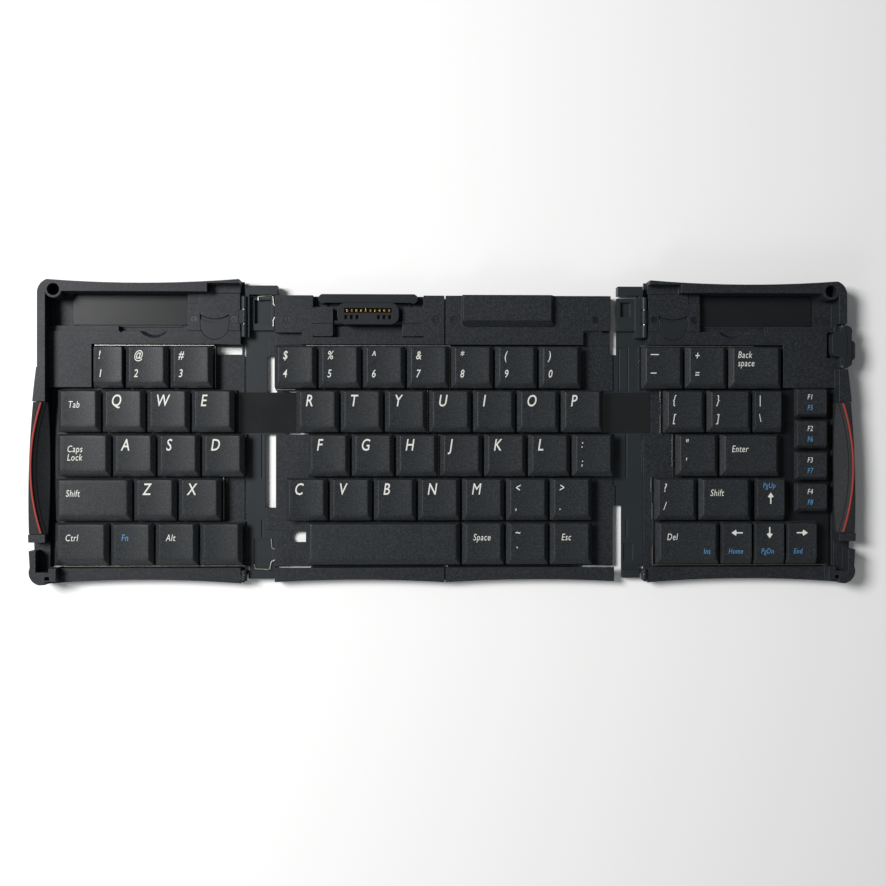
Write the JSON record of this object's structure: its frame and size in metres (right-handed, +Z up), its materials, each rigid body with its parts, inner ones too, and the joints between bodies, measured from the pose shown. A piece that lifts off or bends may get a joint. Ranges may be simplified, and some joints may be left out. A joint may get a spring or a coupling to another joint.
{
  "type": "folding keyboard",
  "caption": "Pocket keyboard in hinged sections that folds like an accordion into a case, with sliding end key blocks, a tilting device connector and a latch.",
  "frame": {"origin": "bottom centre of the opened keyboard, on the table under the centre hinge line", "axes": "+X along the key rows to the right, +Y towards the rear, +Z up"},
  "size_m": [0.3548, 0.1306, 0.0111],
  "materials": {
    "case_plastic": "fine-textured black moulding",
    "slide_plastic": "smooth black moulding",
    "dock_plastic": "satin black",
    "control_plastic": "satin black",
    "keycap": "satin black, dished",
    "scissor": "natural nylon",
    "dome_rubber": "translucent grey silicone",
    "plate_steel": "stamped, bare edges",
    "pin_steel": "drawn wire",
    "screw_steel": "dark plated",
    "foot_rubber": "matt",
    "grip_rubber": "matt, with a red line",
    "ribbon_film": "black flexible circuit",
    "contact_gold": "gold plated"
  },
  "bodies": {
    "centre_left": {"centre_left_frame": "case_plastic", "centre_left_key_plate": "plate_steel", "centre_left_screws": "screw_steel", "centre_hinge_pins": "pin_steel"},
    "centre_right": {"centre_right_frame": "case_plastic", "centre_right_key_plate": "plate_steel", "centre_right_screws": "screw_steel"},
    "left_slide": {"left_hinge_slide": "slide_plastic", "left_hinge_pins": "pin_steel", "left_ribbon": "ribbon_film"},
    "left_end": {"left_tray": "case_plastic", "left_cover": "case_plastic", "left_grip": "grip_rubber", "left_feet": "foot_rubber", "left_screws": "screw_steel"},
    "left_key_block": {"left_key_plate": "plate_steel"},
    "right_slide": {"right_hinge_slide": "slide_plastic", "right_hinge_pins": "pin_steel", "right_ribbon": "ribbon_film"},
    "right_end": {"right_tray": "case_plastic", "right_cover": "case_plastic", "right_grip": "grip_rubber", "right_feet": "foot_rubber", "right_screws": "screw_steel"},
    "right_key_block": {"right_key_plate": "plate_steel"},
    "connector": {"connector_shell": "dock_plastic", "connector_contacts": "contact_gold"},
    "bracket": {"support_bracket": "dock_plastic"},
    "latch": {"latch": "control_plastic"},
    "left_button": {"left_release_button": "control_plastic"},
    "right_button": {"right_release_button": "control_plastic"},
    "left_key_lift": {"left_dome_sheet": "dome_rubber", "left_scissors": "scissor"},
    "left_row_1": {"left_keys_1": "keycap"},
    "left_row_2": {"left_keys_2": "keycap"},
    "left_row_3": {"left_keys_3": "keycap"},
    "left_row_4": {"left_keys_4": "keycap"},
    "left_row_5": {"left_keys_5": "keycap"},
    "centre_left_key_lift": {"centre_left_dome_sheet": "dome_rubber", "centre_left_scissors": "scissor"},
    "centre_left_row_1": {"centre_left_keys_1": "keycap"},
    "centre_left_row_2": {"centre_left_keys_2": "keycap"},
    "centre_left_row_3": {"centre_left_keys_3": "keycap"},
    "centre_left_row_4": {"centre_left_keys_4": "keycap"},
    "centre_left_row_5": {"centre_left_keys_5": "keycap"},
    "centre_right_key_lift": {"centre_right_dome_sheet": "dome_rubber", "centre_right_scissors": "scissor"},
    "centre_right_row_1": {"centre_right_keys_1": "keycap"},
    "centre_right_row_2": {"centre_right_keys_2": "keycap"},
    "centre_right_row_3": {"centre_right_keys_3": "keycap"},
    "centre_right_row_4": {"centre_right_keys_4": "keycap"},
    "centre_right_row_5": {"centre_right_keys_5": "keycap"},
    "right_key_lift": {"right_dome_sheet": "dome_rubber", "right_scissors": "scissor"},
    "right_row_1": {"right_keys_1": "keycap"},
    "right_row_2": {"right_keys_2": "keycap"},
    "right_row_3": {"right_keys_3": "keycap"},
    "right_row_4": {"right_keys_4": "keycap"},
    "right_row_5": {"right_keys_5": "keycap"},
    "right_app_row": {"right_app_keys": "keycap"}
  },
  "joints": [
    {"name": "fold_centre", "type": "hinge", "parent": "centre_left", "child": "centre_right", "pos_m": [0, 0, 0.0014], "axis": [0, 1, 0], "range_deg": [0, 180]},
    {"name": "slide_left", "type": "slide", "parent": "centre_left", "child": "left_slide", "axis": [1, 0, 0], "range_m": [0, 0.0109]},
    {"name": "fold_left", "type": "hinge", "parent": "left_slide", "child": "left_end", "pos_m": [-0.0865, 0, 0.0063], "axis": [0, 1, 0], "range_deg": [0, 180.2], "deforming": ["left_ribbon"]},
    {"name": "slide_right", "type": "slide", "parent": "centre_right", "child": "right_slide", "axis": [-1, 0, 0], "range_m": [0, 0.0109]},
    {"name": "fold_right", "type": "hinge", "parent": "right_slide", "child": "right_end", "pos_m": [0.0865, 0, 0.0063], "axis": [0, -1, 0], "range_deg": [0, 180.2], "deforming": ["right_ribbon"]},
    {"name": "close_left_keys", "type": "slide", "parent": "left_end", "child": "left_key_block", "axis": [-1, 0, 0], "range_m": [-0.0254, 0]},
    {"name": "close_right_keys", "type": "slide", "parent": "right_end", "child": "right_key_block", "axis": [1, 0, 0], "range_m": [-0.0254, 0]},
    {"name": "tilt_connector", "type": "hinge", "parent": "centre_left", "child": "connector", "pos_m": [-0.0331, 0.0476, 0.0044], "axis": [-1, 0, 0], "range_deg": [-75, 0]},
    {"name": "pull_bracket", "type": "slide", "parent": "centre_left", "child": "bracket", "axis": [0, -1, 0], "range_m": [-0.012, 0]},
    {"name": "turn_latch", "type": "hinge", "parent": "right_end", "child": "latch", "pos_m": [0.1726, 0.037, 0.00885], "axis": [0, 1, 0], "range_deg": [-25, 0], "stiffness_Nm_per_rad": 0.01, "springref_deg": 5.73},
    {"name": "press_left_button", "type": "slide", "parent": "left_end", "child": "left_button", "axis": [0, 0, 1], "range_m": [-0.001, 0], "stiffness_N_per_m": 400, "springref_m": 0.0005},
    {"name": "press_right_button", "type": "slide", "parent": "right_end", "child": "right_button", "axis": [0, 0, 1], "range_m": [-0.001, 0], "stiffness_N_per_m": 400, "springref_m": 0.0005},
    {"name": "squeeze_left", "type": "slide", "parent": "left_key_block", "child": "left_key_lift", "axis": [0, 0, -1], "range_m": [0, 0.0031], "deforming": ["left_dome_sheet", "left_scissors"]},
    {"name": "squeeze_centre_left", "type": "slide", "parent": "centre_left", "child": "centre_left_key_lift", "axis": [0, 0, -1], "range_m": [0, 0.0031], "deforming": ["centre_left_dome_sheet", "centre_left_scissors"]},
    {"name": "squeeze_centre_right", "type": "slide", "parent": "centre_right", "child": "centre_right_key_lift", "axis": [0, 0, -1], "range_m": [0, 0.0031], "deforming": ["centre_right_dome_sheet", "centre_right_scissors"]},
    {"name": "squeeze_right", "type": "slide", "parent": "right_key_block", "child": "right_key_lift", "axis": [0, 0, -1], "range_m": [0, 0.0031], "deforming": ["right_dome_sheet", "right_scissors"]},
    {"name": "press_left_1", "type": "slide", "parent": "left_key_lift", "child": "left_row_1", "axis": [0, 0, 1], "range_m": [-0.003, 0], "stiffness_N_per_m": 150, "springref_m": 0.001},
    {"name": "press_left_2", "type": "slide", "parent": "left_key_lift", "child": "left_row_2", "axis": [0, 0, 1], "range_m": [-0.003, 0], "stiffness_N_per_m": 150, "springref_m": 0.001},
    {"name": "press_left_3", "type": "slide", "parent": "left_key_lift", "child": "left_row_3", "axis": [0, 0, 1], "range_m": [-0.003, 0], "stiffness_N_per_m": 150, "springref_m": 0.001},
    {"name": "press_left_4", "type": "slide", "parent": "left_key_lift", "child": "left_row_4", "axis": [0, 0, 1], "range_m": [-0.003, 0], "stiffness_N_per_m": 150, "springref_m": 0.001},
    {"name": "press_left_5", "type": "slide", "parent": "left_key_lift", "child": "left_row_5", "axis": [0, 0, 1], "range_m": [-0.003, 0], "stiffness_N_per_m": 150, "springref_m": 0.001},
    {"name": "press_centre_left_1", "type": "slide", "parent": "centre_left_key_lift", "child": "centre_left_row_1", "axis": [0, 0, 1], "range_m": [-0.003, 0], "stiffness_N_per_m": 150, "springref_m": 0.001},
    {"name": "press_centre_left_2", "type": "slide", "parent": "centre_left_key_lift", "child": "centre_left_row_2", "axis": [0, 0, 1], "range_m": [-0.003, 0], "stiffness_N_per_m": 150, "springref_m": 0.001},
    {"name": "press_centre_left_3", "type": "slide", "parent": "centre_left_key_lift", "child": "centre_left_row_3", "axis": [0, 0, 1], "range_m": [-0.003, 0], "stiffness_N_per_m": 150, "springref_m": 0.001},
    {"name": "press_centre_left_4", "type": "slide", "parent": "centre_left_key_lift", "child": "centre_left_row_4", "axis": [0, 0, 1], "range_m": [-0.003, 0], "stiffness_N_per_m": 150, "springref_m": 0.001},
    {"name": "press_centre_left_5", "type": "slide", "parent": "centre_left_key_lift", "child": "centre_left_row_5", "axis": [0, 0, 1], "range_m": [-0.003, 0], "stiffness_N_per_m": 150, "springref_m": 0.001},
    {"name": "press_centre_right_1", "type": "slide", "parent": "centre_right_key_lift", "child": "centre_right_row_1", "axis": [0, 0, 1], "range_m": [-0.003, 0], "stiffness_N_per_m": 150, "springref_m": 0.001},
    {"name": "press_centre_right_2", "type": "slide", "parent": "centre_right_key_lift", "child": "centre_right_row_2", "axis": [0, 0, 1], "range_m": [-0.003, 0], "stiffness_N_per_m": 150, "springref_m": 0.001},
    {"name": "press_centre_right_3", "type": "slide", "parent": "centre_right_key_lift", "child": "centre_right_row_3", "axis": [0, 0, 1], "range_m": [-0.003, 0], "stiffness_N_per_m": 150, "springref_m": 0.001},
    {"name": "press_centre_right_4", "type": "slide", "parent": "centre_right_key_lift", "child": "centre_right_row_4", "axis": [0, 0, 1], "range_m": [-0.003, 0], "stiffness_N_per_m": 150, "springref_m": 0.001},
    {"name": "press_centre_right_5", "type": "slide", "parent": "centre_right_key_lift", "child": "centre_right_row_5", "axis": [0, 0, 1], "range_m": [-0.003, 0], "stiffness_N_per_m": 150, "springref_m": 0.001},
    {"name": "press_right_1", "type": "slide", "parent": "right_key_lift", "child": "right_row_1", "axis": [0, 0, 1], "range_m": [-0.003, 0], "stiffness_N_per_m": 150, "springref_m": 0.001},
    {"name": "press_right_2", "type": "slide", "parent": "right_key_lift", "child": "right_row_2", "axis": [0, 0, 1], "range_m": [-0.003, 0], "stiffness_N_per_m": 150, "springref_m": 0.001},
    {"name": "press_right_3", "type": "slide", "parent": "right_key_lift", "child": "right_row_3", "axis": [0, 0, 1], "range_m": [-0.003, 0], "stiffness_N_per_m": 150, "springref_m": 0.001},
    {"name": "press_right_4", "type": "slide", "parent": "right_key_lift", "child": "right_row_4", "axis": [0, 0, 1], "range_m": [-0.003, 0], "stiffness_N_per_m": 150, "springref_m": 0.001},
    {"name": "press_right_5", "type": "slide", "parent": "right_key_lift", "child": "right_row_5", "axis": [0, 0, 1], "range_m": [-0.003, 0], "stiffness_N_per_m": 150, "springref_m": 0.001},
    {"name": "press_right_app", "type": "slide", "parent": "right_key_lift", "child": "right_app_row", "axis": [0, 0, 1], "range_m": [-0.003, 0], "stiffness_N_per_m": 150, "springref_m": 0.001}
  ],
  "couplings": [
    {"joint": "slide_left", "follows": "fold_centre", "m_per_rad": 0.0034377},
    {"joint": "fold_left", "follows": "fold_centre", "ratio": 1},
    {"joint": "slide_right", "follows": "fold_centre", "m_per_rad": 0.0034377},
    {"joint": "fold_right", "follows": "fold_centre", "ratio": 1},
    {"joint": "squeeze_left", "follows": "fold_centre", "m_per_rad": 0.00095493},
    {"joint": "squeeze_centre_left", "follows": "fold_centre", "m_per_rad": 0.00095493},
    {"joint": "squeeze_centre_right", "follows": "fold_centre", "m_per_rad": 0.00095493},
    {"joint": "squeeze_right", "follows": "fold_centre", "m_per_rad": 0.00095493}
  ]
}
